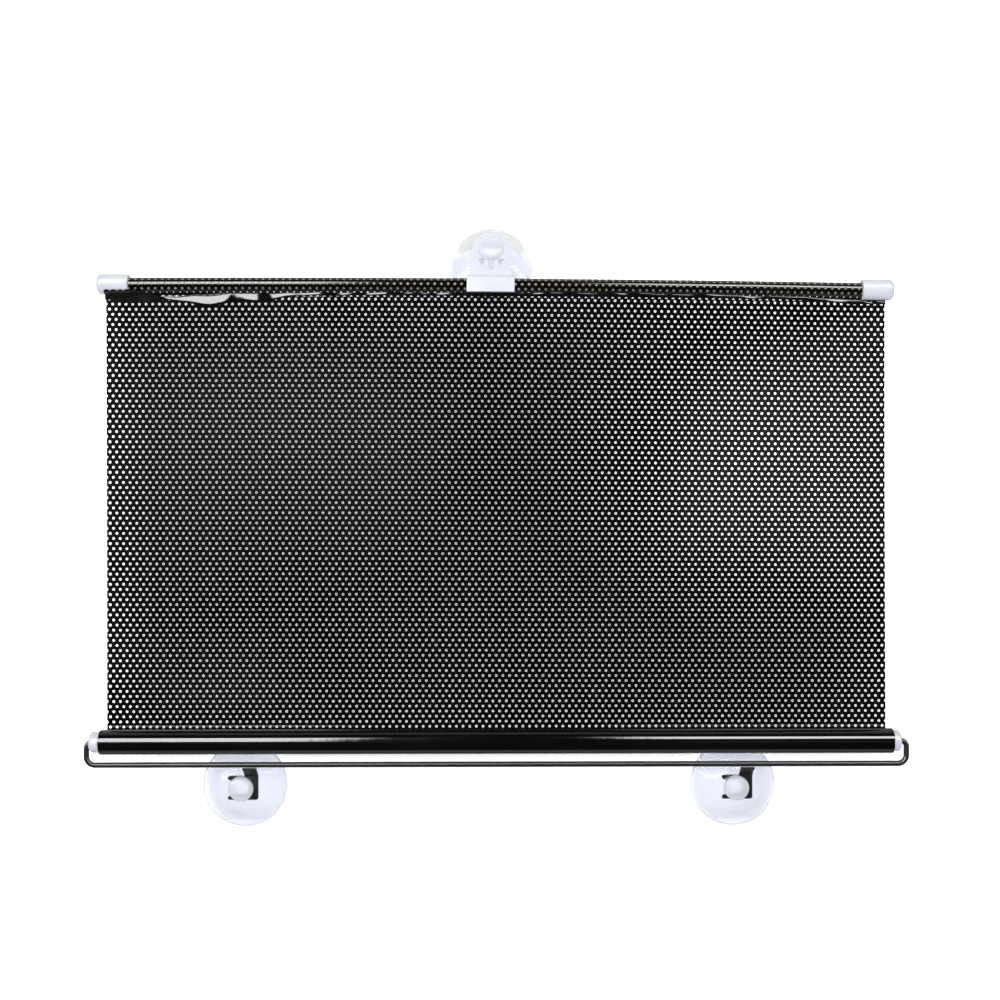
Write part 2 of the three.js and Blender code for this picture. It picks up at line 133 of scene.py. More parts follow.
# Backdrop
FLOOR_GAP = 1 * MM
WALL_GAP = 2 * MM
ROOM_HALF = 6


def middle(node):
    low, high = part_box(node)
    return (low + high) / 2


roller_axis = middle("roller_tube")
sheet_low, sheet_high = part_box("film_sheet")
film_y = (sheet_low.y + sheet_high.y) / 2
rail_centre = (middle("rail_cap_left") + middle("rail_cap_right")) / 2
rail_run = middle("rail_cap_right") - middle("rail_cap_left")
RAIL = Matrix.Translation(rail_centre) @ Matrix.Rotation(-math.atan2(rail_run.z, rail_run.x), 4, "Y")
ROLLER = Matrix.Translation(roller_axis)


def bow(x):
    """How far the rod is bent up between its caps."""
    return ROD_BOW * MM * np.clip(1 - (x / (BOW_HALF * MM)) ** 2, 0, 1)


def rail_height(x):
    return rail_centre.z + (x - rail_centre.x) * rail_run.z / rail_run.x + bow(x)


# Meshes

def add_mesh(name, points, faces, smooth=True):
    """A mesh object in the row frame."""
    mesh = bpy.data.meshes.new(name)
    mesh.from_pydata([tuple(p) for p in points], [], faces)
    mesh.validate()
    mesh.polygons.foreach_set("use_smooth", [smooth] * len(mesh.polygons))
    mesh.update()
    obj = bpy.data.objects.new(name, mesh)
    bpy.context.scene.collection.objects.link(obj)
    return obj


def shade_by(obj, normals):
    """Gives each vertex its own normal, for round surfaces made of large faces."""
    face = obj.data.polygons[0]
    if face.normal.dot(Vector(normals[face.vertices[0]])) < 0:
        obj.data.flip_normals()
    obj.data.normals_split_custom_set_from_vertices([tuple(n) for n in normals])
    return obj


def placed(obj, matrix):
    obj.data.transform(matrix)
    return obj


def lathe(name, profile, segments, matrix, crease=35):
    """Turns (radius, x) pairs, in mm, about X and puts the result in place by a matrix.

    Corners sharper than crease degrees stay sharp.
    """
    points, faces = [], []
    rings = []
    for radius, x in profile:
        if radius < 1e-6:
            rings.append([len(points)])
            points.append((x * MM, 0, 0))
            continue
        rings.append(list(range(len(points), len(points) + segments)))
        for i in range(segments):
            angle = 2 * math.pi * i / segments
            points.append((x * MM, radius * MM * math.cos(angle), radius * MM * math.sin(angle)))
    for a, b in zip(rings, rings[1:]):
        for i in range(segments):
            j = (i + 1) % segments
            if len(a) == 1:
                faces.append((a[0], b[i], b[j]))
            elif len(b) == 1:
                faces.append((a[i], b[0], a[j]))
            else:
                faces.append((a[i], b[i], b[j], a[j]))
    obj = add_mesh(name, points, faces)
    bpy.context.view_layer.update()
    obj.data.set_sharp_from_angle(angle=math.radians(crease))
    return placed(obj, matrix)


def tube(name, path, radius, sides, matrix):
    """A round wire along points in mm that lie in the XZ plane, put in place by a matrix."""
    points, faces = [], []
    path = [Vector(p) for p in path]
    for i, p in enumerate(path):
        ahead = (path[min(i + 1, len(path) - 1)] - path[max(i - 1, 0)]).normalized()
        side = Vector((0, 1, 0))
        up = ahead.cross(side)
        for k in range(sides):
            angle = 2 * math.pi * k / sides
            q = p + radius * (math.cos(angle) * side + math.sin(angle) * up)
            points.append(q * MM)
    for i in range(len(path) - 1):
        for k in range(sides):
            j = (k + 1) % sides
            faces.append((i * sides + k, i * sides + j, (i + 1) * sides + j, (i + 1) * sides + k))
    faces.append(tuple(range(sides)))
    faces.append(tuple(reversed(range(len(points) - sides, len(points)))))
    obj = add_mesh(name, points, faces)
    obj.data.set_sharp_from_angle(angle=math.radians(60))
    return placed(obj, matrix)


def plate(name, outlines, thickness, bevel):
    """A flat plate with rounded edges: outlines of (x, z) in mm, the first one outside, centred on y = 0."""
    curve = bpy.data.curves.new(name, "CURVE")
    curve.dimensions = "2D"
    curve.fill_mode = "BOTH"
    curve.extrude = (thickness / 2 - bevel) * MM
    curve.bevel_depth = bevel * MM
    curve.bevel_resolution = 3
    curve.offset = -bevel * MM
    for outline in outlines:
        spline = curve.splines.new("POLY")
        spline.points.add(len(outline) - 1)
        for point, (x, z) in zip(spline.points, outline):
            point.co = (x * MM, z * MM, 0, 1)
        spline.use_cyclic_u = True
    source = bpy.data.objects.new(name + "_outline", curve)
    bpy.context.scene.collection.objects.link(source)
    bpy.context.view_layer.update()
    mesh = bpy.data.meshes.new_from_object(source.evaluated_get(bpy.context.evaluated_depsgraph_get()))
    bpy.data.objects.remove(source)
    mesh.name = name
    mesh.transform(Matrix.Rotation(math.pi / 2, 4, "X"))
    obj = bpy.data.objects.new(name, mesh)
    bpy.context.scene.collection.objects.link(obj)
    mesh.polygons.foreach_set("use_smooth", [True] * len(mesh.polygons))
    mesh.set_sharp_from_angle(angle=math.radians(40))
    return obj


def arc(x, z, radius, start, end, steps):
    """Points of an arc, with angles in degrees."""
    angles = [math.radians(start + (end - start) * i / steps) for i in range(steps + 1)]
    return [(x + radius * math.cos(a), z + radius * math.sin(a)) for a in angles]


# Outer corners of a cell and the hole's corners that each one is joined to, by twelfths of a turn
CELL_FANS = ((5, (0, 1, 2)), (4, (2, 3, 4)), (3, (4, 5, 6)), (0, (6, 7, 8)), (1, (8, 9, 10)), (2, (10, 11, 0)))


def perforated(name, columns, rows, place, facing=None):
    """Film of columns by rows of staggered holes. Its side edges cut every other row's end hole.

    place takes arrays of flat places, across from the middle and along from the first row, and gives points;
    facing takes the same and gives the outward directions there.
    """
    across, along, faces = [], [], []
    left = -columns * COLUMN_PITCH / 2
    stride = 2 * columns + 1
    for r in range(rows + 1):
        across.extend(left + k * COLUMN_PITCH / 2 for k in range(stride))
        along.extend([r * ROW_PITCH] * stride)
    turn = [2 * math.pi * k / HOLE_SIDES for k in range(HOLE_SIDES)]
    for r in range(rows):
        shift = r % 2
        first = -1 if shift else 0
        for c in range(first, columns):
            k = 2 * c + shift
            centre = left + (k + 1) * COLUMN_PITCH / 2
            low, high = r * stride + k, (r + 1) * stride + k
            outer = (low, low + 1, low + 2, high, high + 1, high + 2)
            kept = [q for q in range(3) if 0 <= k + q <= 2 * columns]
            ring = {}
            for q in range(HOLE_SIDES):
                x = HOLE_RADIUS * math.cos(turn[q])
                if (0 not in kept and x < -1e-9) or (2 not in kept and x > 1e-9):
                    continue
                ring[q] = len(across)
                across.append(centre + x)
                along.append((r + 0.5) * ROW_PITCH + HOLE_RADIUS * math.sin(turn[q]))
            fans = list(CELL_FANS)
            for i, (corner, holes) in enumerate(fans):
                if corner % 3 not in kept:
                    continue
                for a, b in zip(holes, holes[1:]):
                    if a in ring and b in ring:
                        faces.append((outer[corner], ring[b], ring[a]))
                after = fans[(i + 1) % len(fans)][0]
                if after % 3 in kept and holes[-1] in ring:
                    faces.append((outer[corner], outer[after], ring[holes[-1]]))
    across, along = np.array(across), np.array(along)
    made = add_mesh(name, place(across, along), faces)
    if facing is not None:
        shade_by(made, facing(across, along))
    return made


# Materials

def material(name, color, roughness, **sockets):
    """A Principled material; returns it with its nodes, links and shader."""
    made = bpy.data.materials.new(name)
    made.use_nodes = True
    nodes, links = made.node_tree.nodes, made.node_tree.links
    shader = nodes["Principled BSDF"]
    shader.inputs["Base Color"].default_value = (*color, 1)
    shader.inputs["Roughness"].default_value = roughness
    for key, value in sockets.items():
        shader.inputs[key.replace("_", " ").title().replace("Ior", "IOR")].default_value = value
    return made, nodes, links, shader


def object_noise(nodes, links, scale, detail=2.0, stretch=(1, 1, 1)):
    """Noise fixed to the object, in metres, and its value's socket."""
    place = nodes.new("ShaderNodeTexCoord")
    mapping = nodes.new("ShaderNodeMapping")
    mapping.inputs["Scale"].default_value = stretch
    links.new(place.outputs["Object"], mapping.inputs["Vector"])
    noise = nodes.new("ShaderNodeTexNoise")
    noise.inputs["Scale"].default_value = scale
    noise.inputs["Detail"].default_value = detail
    links.new(mapping.outputs["Vector"], noise.inputs["Vector"])
    return noise.outputs["Fac"]


def bumped(nodes, links, shader, height, distance, strength=1.0):
    bump = nodes.new("ShaderNodeBump")
    bump.inputs["Distance"].default_value = distance
    bump.inputs["Strength"].default_value = strength
    links.new(height, bump.inputs["Height"])
    links.new(bump.outputs["Normal"], shader.inputs["Normal"])


def mottled(nodes, links, shader, factor, low, high):
    """Base colour between two colours, by a factor."""
    ramp = nodes.new("ShaderNodeValToRGB")
    ramp.color_ramp.elements[0].position = 0.3
    ramp.color_ramp.elements[1].position = 0.7
    ramp.color_ramp.elements[0].color = (*low, 1)
    ramp.color_ramp.elements[1].color = (*high, 1)
    links.new(factor, ramp.inputs["Fac"])
    links.new(ramp.outputs["Color"], shader.inputs["Base Color"])


def spread(nodes, links, shader, factor, low, high):
    """Roughness between two values, by a factor."""
    ranged = nodes.new("ShaderNodeMapRange")
    ranged.inputs["From Min"].default_value = 0.3
    ranged.inputs["From Max"].default_value = 0.7
    ranged.inputs["To Min"].default_value = low
    ranged.inputs["To Max"].default_value = high
    links.new(factor, ranged.inputs["Value"])
    links.new(ranged.outputs["Result"], shader.inputs["Roughness"])


def make_film():
    made, nodes, links, shader = material("black_film", (0.003, 0.003, 0.0032), 0.06)
    cloudy = object_noise(nodes, links, 14, 3)
    mottled(nodes, links, shader, cloudy, (0.002, 0.002, 0.0022), (0.0045, 0.0045, 0.005))
    spread(nodes, links, shader, cloudy, 0.05, 0.08)
    bumped(nodes, links, shader, object_noise(nodes, links, 160, 1), 0.00003)
    return made


def make_paint():
    made, nodes, links, shader = material("black_paint", (0.018, 0.018, 0.020), 0.3)
    speckle = object_noise(nodes, links, 1400, 2)
    mottled(nodes, links, shader, speckle, (0.008, 0.008, 0.009), (0.022, 0.022, 0.025))
    bumped(nodes, links, shader, speckle, 0.00004)
    return made


def make_white():
    made, nodes, links, shader = material("white_plastic", (0.72, 0.74, 0.81), 0.35)
    cloudy = object_noise(nodes, links, 90, 3)
    mottled(nodes, links, shader, cloudy, (0.73, 0.75, 0.82), (0.76, 0.78, 0.85))
    spread(nodes, links, shader, cloudy, 0.3, 0.42)
    bumped(nodes, links, shader, object_noise(nodes, links, 500, 2), 0.00001)
    return made


def make_clear(name, color, transmission):
    made, nodes, links, shader = material(name, color, 0.12, transmission_weight=transmission, ior=1.22)
    cloudy = object_noise(nodes, links, 110, 2)
    spread(nodes, links, shader, cloudy, 0.08, 0.2)
    bumped(nodes, links, shader, object_noise(nodes, links, 260, 1), 0.00003)
    return made


def make_steel():
    made, nodes, links, shader = material("bare_steel", (0.45, 0.46, 0.48), 0.35, metallic=1.0)
    streaks = object_noise(nodes, links, 300, 2, (0.1, 1, 1))
    spread(nodes, links, shader, streaks, 0.25, 0.45)
    mottled(nodes, links, shader, streaks, (0.38, 0.39, 0.41), (0.55, 0.56, 0.58))
    return made


def make_board():
    made, nodes, links, shader = material("board_tube", (0.5, 0.41, 0.28), 0.9)
    fibres = object_noise(nodes, links, 500, 4, (0.2, 1, 1))
    mottled(nodes, links, shader, fibres, (0.42, 0.34, 0.22), (0.58, 0.49, 0.35))
    bumped(nodes, links, shader, fibres, 0.00005)
    return made


def make_wood():
    made, nodes, links, shader = material("pale_wood", (0.42, 0.37, 0.28), 0.28)
    grain = object_noise(nodes, links, 700, 4, (0.03, 1, 1))
    mottled(nodes, links, shader, grain, (0.36, 0.31, 0.22), (0.48, 0.43, 0.33))
    bumped(nodes, links, shader, grain, 0.00006)
    return made


film_look = make_film()
paint_look = make_paint()
white_look = make_white()
clear_look = make_clear("clear_vinyl", (0.82, 0.84, 0.90), 0.82)
knob_look = make_clear("thick_vinyl", (0.88, 0.90, 0.97), 0.35)
lip_look = make_clear("vinyl_lip", (0.74, 0.76, 0.82), 0.6)
steel_look = make_steel()
board_look = make_board()
wood_look = make_wood()


def dress(obj, look):
    obj.data.materials.clear()
    obj.data.materials.append(look)


def finish_piece(obj, body, look, slot, *nodes):
    """Puts a new piece on its body, with its material, in place of the CAD nodes."""
    dress(obj, look)
    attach(obj, body)
    if nodes:
        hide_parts(*nodes)
    return obj


# Camera and light

def add_camera():
    data = bpy.data.cameras.new("camera")
    data.lens = FOCAL
    data.sensor_width = 36
    data.sensor_fit = "HORIZONTAL"
    data.clip_start = 0.01
    data.clip_end = 20
    camera = bpy.data.objects.new("camera", data)
    camera.location = (CAMERA_AT.x, film_y - CAMERA_DISTANCE, CAMERA_AT.z)
    camera.rotation_euler = (math.pi / 2, CAMERA_ROLL, 0)
    bpy.context.scene.collection.objects.link(camera)
    bpy.context.scene.camera = camera


def add_lamp(name, at, target, size, power):
    """A square soft lamp that neither the camera nor reflections show."""
    data = bpy.data.lights.new(name, "AREA")
    data.shape = "SQUARE"
    data.size = size
    data.energy = power
    lamp = bpy.data.objects.new(name, data)
    lamp.location = at
    lamp.rotation_euler = (Vector(target) - Vector(at)).to_track_quat("-Z", "Y").to_euler()
    lamp.visible_glossy = False
    lamp.visible_camera = False
    bpy.context.scene.collection.objects.link(lamp)


def add_world():
    """White where the camera or clear vinyl looks through, an even studio for diffuse light,
    and a dark room with soft boxes for reflections."""
    world = bpy.data.worlds.new("studio")
    bpy.context.scene.world = world
    world.use_nodes = True
    nodes, links = world.node_tree.nodes, world.node_tree.links
    nodes.clear()
    out = nodes.new("ShaderNodeOutputWorld")
    path = nodes.new("ShaderNodeLightPath")
    place = nodes.new("ShaderNodeTexCoord")
    split = nodes.new("ShaderNodeSeparateXYZ")
    links.new(place.outputs["Generated"], split.inputs["Vector"])

    def maths(operation, a, b=None, c=None, clamp=False):
        node = nodes.new("ShaderNodeMath")
        node.operation = operation
        node.use_clamp = clamp
        for socket, value in zip(node.inputs, (a, b, c)):
            if value is None:
                continue
            if isinstance(value, (int, float)):
                socket.default_value = value
            else:
                links.new(value, socket)
        return node.outputs[0]

    ahead = maths("MAXIMUM", maths("MULTIPLY", split.outputs["Y"], -1.0), 0.001)
    across = maths("DIVIDE", split.outputs["X"], ahead)
    up = maths("DIVIDE", split.outputs["Z"], ahead)
    in_front = maths("GREATER_THAN", maths("MULTIPLY", split.outputs["Y"], -1.0), 0.01)

    def box(low, high, value, edge):
        """A soft edge from 0 to 1 and back to 0 as value passes low and high."""
        rise = maths("DIVIDE", maths("SUBTRACT", value, low), edge, clamp=True)
        fall = maths("DIVIDE", maths("SUBTRACT", high, value), edge, clamp=True)
        return maths("MULTIPLY", rise, fall)

    def soft_box(left, right, bottom, top, strength, edge):
        area = maths("MULTIPLY", box(left, right, across, edge), box(bottom, top, up, edge))
        return maths("MULTIPLY", maths("MULTIPLY", area, in_front), strength)

    # Two bright soft boxes, then four faint ones for the film's lighter patches
    light = 0.022
    for left, right, bottom, top, strength, edge in (
        (-3.0, -0.10, 0.17, 1.0, 17.0, 0.05),
        (0.08, 3.0, 0.50, 1.15, 17.0, 0.06),
        (-0.26, -0.04, -0.05, 0.11, 0.27, 0.06),
        (0.11, 0.30, -0.06, 0.12, 0.40, 0.05),
        (-0.34, -0.23, -0.12, 0.16, 0.22, 0.04),
        (-0.24, -0.14, -0.16, -0.07, 0.18, 0.04),
    ):
        light = maths("ADD", light, soft_box(left, right, bottom, top, strength, edge))
    sideways = maths("GREATER_THAN", split.outputs["Y"], -0.2)
    light = maths("ADD", light, maths("MULTIPLY", sideways, 0.6))
    inside_vinyl = maths("GREATER_THAN", path.outputs["Transmission Depth"], 0.5)
    light = maths("MAXIMUM", light, maths("MULTIPLY", inside_vinyl, 0.95))

    reflections = nodes.new("ShaderNodeBackground")
    links.new(light, reflections.inputs["Strength"])
    reflections.inputs["Color"].default_value = (0.97, 0.98, 1.0, 1)
    even = nodes.new("ShaderNodeBackground")
    even.inputs["Color"].default_value = (1, 1, 1, 1)
    even.inputs["Strength"].default_value = 0.5
    white = nodes.new("ShaderNodeBackground")
    white.inputs["Color"].default_value = (1, 1, 1, 1)
    white.inputs["Strength"].default_value = 1.0
    by_gloss = nodes.new("ShaderNodeMixShader")
    links.new(path.outputs["Is Glossy Ray"], by_gloss.inputs["Fac"])
    links.new(even.outputs[0], by_gloss.inputs[1])
    links.new(reflections.outputs[0], by_gloss.inputs[2])
    seen = maths("MAXIMUM", path.outputs["Is Camera Ray"], path.outputs["Is Transmission Ray"])
    by_view = nodes.new("ShaderNodeMixShader")
    links.new(seen, by_view.inputs["Fac"])
    links.new(by_gloss.outputs[0], by_view.inputs[1])
    links.new(white.outputs[0], by_view.inputs[2])
    links.new(by_view.outputs[0], out.inputs["Surface"])


def backdrop_look(name, glow, gain, patches=()):
    """A pale matt surface that the camera sees as white where nothing shades it; its back can be seen through.

    patches are (place, size, strength) of round areas that glow more: painted pools of light on the surface, with no
    lamp there.
    """
    look = bpy.data.materials.new(name)
    look.use_nodes = True
    nodes, links = look.node_tree.nodes, look.node_tree.links
    nodes.remove(nodes["Principled BSDF"])
    matt = nodes.new("ShaderNodeBsdfDiffuse")
    matt.inputs["Color"].default_value = (0.8, 0.8, 0.8, 1)
    bright = nodes.new("ShaderNodeBsdfDiffuse")
    bright.inputs["Color"].default_value = (gain, gain, gain, 1)
    lamp = nodes.new("ShaderNodeEmission")
    lamp.inputs["Strength"].default_value = glow
    place = nodes.new("ShaderNodeTexCoord")
    # Painted light: each patch adds glow in a round pool on the surface
    for at, size, strength in patches:
        shifted = nodes.new("ShaderNodeMapping")
        shifted.vector_type = "TEXTURE"
        shifted.inputs["Location"].default_value = at
        shifted.inputs["Scale"].default_value = size
        links.new(place.outputs["Object"], shifted.inputs["Vector"])
        ball = nodes.new("ShaderNodeTexGradient")
        ball.gradient_type = "SPHERICAL"
        links.new(shifted.outputs["Vector"], ball.inputs["Vector"])
        more = nodes.new("ShaderNodeMath")
        more.operation = "MULTIPLY_ADD"
        links.new(ball.outputs["Fac"], more.inputs[0])
        more.inputs[1].default_value = strength
        if lamp.inputs["Strength"].is_linked:
            links.new(lamp.inputs["Strength"].links[0].from_socket, more.inputs[2])
        else:
            more.inputs[2].default_value = glow
        links.new(more.outputs[0], lamp.inputs["Strength"])
    added = nodes.new("ShaderNodeAddShader")
    links.new(bright.outputs[0], added.inputs[0])
    links.new(lamp.outputs[0], added.inputs[1])
    path = nodes.new("ShaderNodeLightPath")
    seen = nodes.new("ShaderNodeMath")
    seen.operation = "MAXIMUM"
    links.new(path.outputs["Is Camera Ray"], seen.inputs[0])
    links.new(path.outputs["Is Transmission Ray"], seen.inputs[1])
    front = nodes.new("ShaderNodeMixShader")
    links.new(seen.outputs[0], front.inputs["Fac"])
    links.new(matt.outputs[0], front.inputs[1])
    links.new(added.outputs[0], front.inputs[2])
    clear = nodes.new("ShaderNodeBsdfTransparent")
    side = nodes.new("ShaderNodeNewGeometry")
    mix = nodes.new("ShaderNodeMixShader")
    links.new(side.outputs["Backfacing"], mix.inputs["Fac"])
    links.new(front.outputs[0], mix.inputs[1])
    links.new(clear.outputs[0], mix.inputs[2])
    links.new(mix.outputs[0], nodes["Material Output"].inputs["Surface"])
    return look


def add_backdrop():
    """A pale floor under the shade and a pale wall close behind it."""
    level = cad_bounds[0][2] - FLOOR_GAP
    behind = cad_bounds[1][1] + WALL_GAP
    side = ROOM_HALF
    floor_corners = [(-side, -side, level), (side, -side, level), (side, behind, level), (-side, behind, level)]
    wall_corners = [(-side, behind, level), (side, behind, level), (side, behind, side), (-side, behind, side)]
    floor = add_mesh("floor", floor_corners, [(0, 1, 2, 3)])
    wall = add_mesh("wall", wall_corners, [(0, 1, 2, 3)])
    dress(floor, backdrop_look("pale_floor", 0.6, 1.6))
    # Painted pools of light on the wall: a broad one behind the film's right side and a narrow one at its left edge,
    # brightening what shows through the holes there
    lit = (
        ((0.155, behind, 0.040), (0.13, 1, 0.11), 1.1),
        ((-0.235, behind, 0.02), (0.032, 1, 0.5), 0.5),
    )
    dress(wall, backdrop_look("pale_wall", 0.2, 1.75, lit))
    floor.visible_glossy = False


add_camera()
add_world()
add_backdrop()
add_lamp("key", (-0.03, -0.95, 0.12), (0, 0, 0), 0.22, 4.4)
add_lamp("fill", (0.0, -0.42, 0.62), (0, 0, 0.13), 0.15, 0.5)

bpy.context.scene.view_settings.view_transform = "Standard"


# Film between the roller and the rail

film_columns = round(FILM_WIDTH / COLUMN_PITCH)
film_length = rail_centre.z - SEAM_DROP - sheet_low.z
film_rows = round(film_length / ROW_PITCH)
film_half = film_columns * COLUMN_PITCH / 2


def film_forward(x, below):
    """How far the film stands towards the camera, at a place below the seam."""
    slack = 0.9 * MM * np.sin(x / 0.071 + 0.8) * np.sin(np.pi * np.clip(below / film_length, 0, 1))
    ripple = 0.1 * MM * np.sin(x / 0.024 + below / 0.05) * np.exp(-below / 0.05)
    pucker = 0.08 * MM * np.sin(x / 0.0083 + 2.0) * np.exp(-((below - 0.006) / 0.004) ** 2)
    return 0.5 * MM + slack + (ripple + pucker) * np.clip(below / 0.01, 0, 1)


def film_place(across, along):
    """The flat film's points: stretched between the roller and the seam, and slack in between."""
    share = along / (film_rows * ROW_PITCH)
    top = rail_height(across) - SEAM_DROP
    z = sheet_low.z + share * (top - sheet_low.z)
    below = np.maximum(top - z, 0)
    settle = np.clip((z - sheet_low.z) / 0.03, 0, 1)
    y = film_y - film_forward(across, below) * settle
    return np.column_stack([across, y, z])


film_cloth = perforated("film_cloth", film_columns, film_rows, film_place)
finish_piece(film_cloth, "bail", film_look, "black_film", "film_sheet")


# Hem round the rod

def hem_path():
    """The hem's way round the rod, in mm about the rail's axis.

    It runs from the weld at the back, over the top, to the front.
    """
    tangent = math.degrees(math.acos(HEM_RADIUS / (HEM_TIP - HEM_SAG)))
    start = -90 + tangent
    return [(0.2, -HEM_TAB), (0.2, -HEM_TIP)] + arc(0, -HEM_SAG, HEM_RADIUS, start, 180 - start, 48) + [
        (-0.2, -HEM_TIP), (-0.3, -HEM_TAB)]


hem_points = np.array(hem_path()) * MM
hem_steps = np.concatenate([[0], np.cumsum(np.hypot(*np.diff(hem_points, axis=0).T))])
hem_length = hem_steps[-1]
hem_rows = int(hem_length / ROW_PITCH)
# One row of holes runs along the hem's front, at the rod's middle
hem_front = np.interp(0, -hem_points[::-1, 1] - (HEM_SAG + 0.4) * MM, hem_steps[::-1])
hem_start = (hem_front - 0.5 * ROW_PITCH) % ROW_PITCH
hem_half = (RAIL_HALF - CAP_LENGTH - HEM_END_GAP) * MM
hem_columns = int(2 * hem_half / COLUMN_PITCH)


def hem_place(across, along):
    """The hem's points at flat places, bowed with the rod."""
    s = np.clip(hem_start + along, 0, hem_length)
    y = np.interp(s, hem_steps, hem_points[:, 0])
    z = np.interp(s, hem_steps, hem_points[:, 1])
    x = across * hem_half / (hem_columns * COLUMN_PITCH / 2)
    local = np.column_stack([x, y, z, np.ones(len(x))])
    points = (local @ np.array(RAIL).T)[:, :3]
    points[:, 2] += bow(points[:, 0])
    return points


hem_turn = np.diff(hem_points, axis=0)
hem_turn /= np.hypot(*hem_turn.T)[:, None]
hem_middles = (hem_steps[1:] + hem_steps[:-1]) / 2


def hem_normals(across, along):
    """The hem's outward direction at flat places."""
    s = np.clip(hem_start + along, 0, hem_length)
    forward = np.interp(s, hem_middles, hem_turn[:, 0])
    up = np.interp(s, hem_middles, hem_turn[:, 1])
    tilt = np.array(RAIL.to_3x3())
    return np.column_stack([0 * s, up, -forward]) @ tilt.T


hem_cloth = perforated("hem_cloth", hem_columns, hem_rows, hem_place, hem_normals)
finish_piece(hem_cloth, "rail", film_look, "black_film", "film_hem")


# The weld's lip below the hem, and the film's corner beside each cap

def draped(name, xs, levels, forward):
    """A plain strip of film that hangs from the rail: levels and forward are in mm below and before its axis."""
    points, faces = [], []
    for i, x in enumerate(xs):
        for below, ahead in zip(levels[i], forward[i]):
            points.append((x * MM, film_y - ahead * MM, rail_height(x * MM) - below * MM))
    width = len(levels[0])
    for i in range(len(xs) - 1):
        for k in range(width - 1):
            a = i * width + k
            faces.append((a, a + 1, a + width + 1, a + width))
    return add_mesh(name, points, faces)


def hem_ahead(below):
    """How far the hem's front stands before the rail's axis, in mm, at a place below it."""
    z = -hem_points[::-1, 1] / MM
    front = -hem_points[::-1, 0] / MM
    keep = front > 0
    order = np.argsort(z[keep])
    return float(np.interp(below, z[keep][order], front[keep][order]))


# The lip along the rail, in mm: how far its top is below the axis, and how deep it hangs
lip_x = [-188, -181, -176, -170, -160, -150, -136, -128, -118, -100, -60, 0, 40, 80, 115, 149, 170, 183, 193, 206]
lip_top = [7.4, 7.3, 6.9, 6.1, 5.7, 5.4, 5.3, 5.2, 5.1, 5.0, 4.8, 4.6, 4.4, 4.3, 4.5, 4.8, 5.0, 5.3, 5.7, 6.2]
lip_deep = [0.5, 1.9, 3.6, 5.0, 5.3, 5.6, 5.0, 3.0, 1.8, 1.2, 0.9, 0.8, 0.9, 0.9, 1.0, 1.1, 1.2, 1.6, 1.9, 1.6]


def weld_lip():
    """The film's turned edge below the weld, uneven and leaning forward."""
    xs = np.linspace(-188, 205.8, 520)
    tops = np.interp(xs, lip_x, lip_top) + 0.18 * np.sin(xs / 7.1) + 0.12 * np.sin(xs / 2.9 + 1)
    deeps = np.interp(xs, lip_x, lip_deep) * (1 + 0.22 * np.sin(xs / 5.3 + 0.5))
    tilts = 0.17 + 0.05 * np.sin(xs / 9.7 + 0.3) + 0.05 * np.sin(xs / 3.7)
    levels, forward = [], []
    for top, deep, tilt in zip(tops, deeps, tilts):
        start = max(hem_ahead(top), 0.7) + 0.12
        shares = (0, 0.25, 0.5, 0.75, 1)
        levels.append([top - 0.35] + [top + deep * s for s in shares] + [top + deep + 0.15, top + deep + 0.4])
        run = [start + deep * (tilt * s - 0.05 * s * s) for s in shares]
        forward.append([start - 0.4] + run + [run[-1] - 0.12, run[-1] - 0.6])
    return draped("weld_lip", xs, levels, forward)


def loose_corner():
    """The film's left corner, which hangs over the lower front of the cap."""
    xs = np.linspace(-220, -186, 150)
    levels, forward = [], []
    for x in xs:
        notch = 0.75 * abs(math.sin(math.pi * (x + 220) / (COLUMN_PITCH / MM))) ** 0.6
        past_cap = min(max((x + 205.6) / 6, 0), 1)
        fade = min(max((x + 200) / 14, 0), 1)
        top = (4.3 - notch * (1 - past_cap) - 0.6 * past_cap) * (1 - fade) + 7.6 * fade
        bottom = 8.9 + 1.9 * min(max((x + 216) / 8, 0), 1) - 2.0 * fade
        reach = 6.25 - 1.5 * past_cap
        row, ahead = [], []
        for k in range(13):
            below = top + (bottom - top) * k / 12
            round_cap = math.sqrt(max(reach * reach - below * below, 0))
            hang = 1.4 - 0.3 * (k / 12) + 0.08 * math.sin(x / 3.0)
            row.append(below)
            ahead.append(math.hypot(round_cap, hang))
        levels.append(row)
        forward.append(ahead)
    return draped("loose_corner", xs, levels, forward)


def tucked_corner():
    """The film's other corner, which goes up behind the right cap."""
    xs = np.linspace(205.2, 220, 60)
    levels = [[5.2, 6.0, 6.8, 7.6, 8.3] for x in xs]
    forward = [[0.1, 0.35 + 0.25 * math.sin(x / 1.3), 0.55 + 0.3 * math.sin(x / 1.9), 0.7, 0.6] for x in xs]
    return draped("tucked_corner", xs, levels, forward)


for made in (weld_lip(), loose_corner(), tucked_corner()):
    finish_piece(made, "rail", film_look, "black_film")

# Film wound on the roller

roll_rows = round(2 * math.pi * ROLL_RADIUS * MM / ROW_PITCH / 2) * 2


def roll_place(across, along):
    """One turn of film, whose end lies just under its start."""
    share = along / (roll_rows * ROW_PITCH)
    angle = -2 * np.pi * share
    radius = (ROLL_RADIUS - ROLL_LAP * share) * MM
    x = across * ROLL_HALF * MM / film_half
    return np.column_stack([
        x,
        roller_axis.y + radius * np.cos(angle),
        roller_axis.z + radius * np.sin(angle),
    ])


def roll_normals(across, along):
    """The roll's outward direction at flat places."""
    angle = -2 * np.pi * along / (roll_rows * ROW_PITCH)
    return np.column_stack([0 * angle, np.cos(angle), np.sin(angle)])


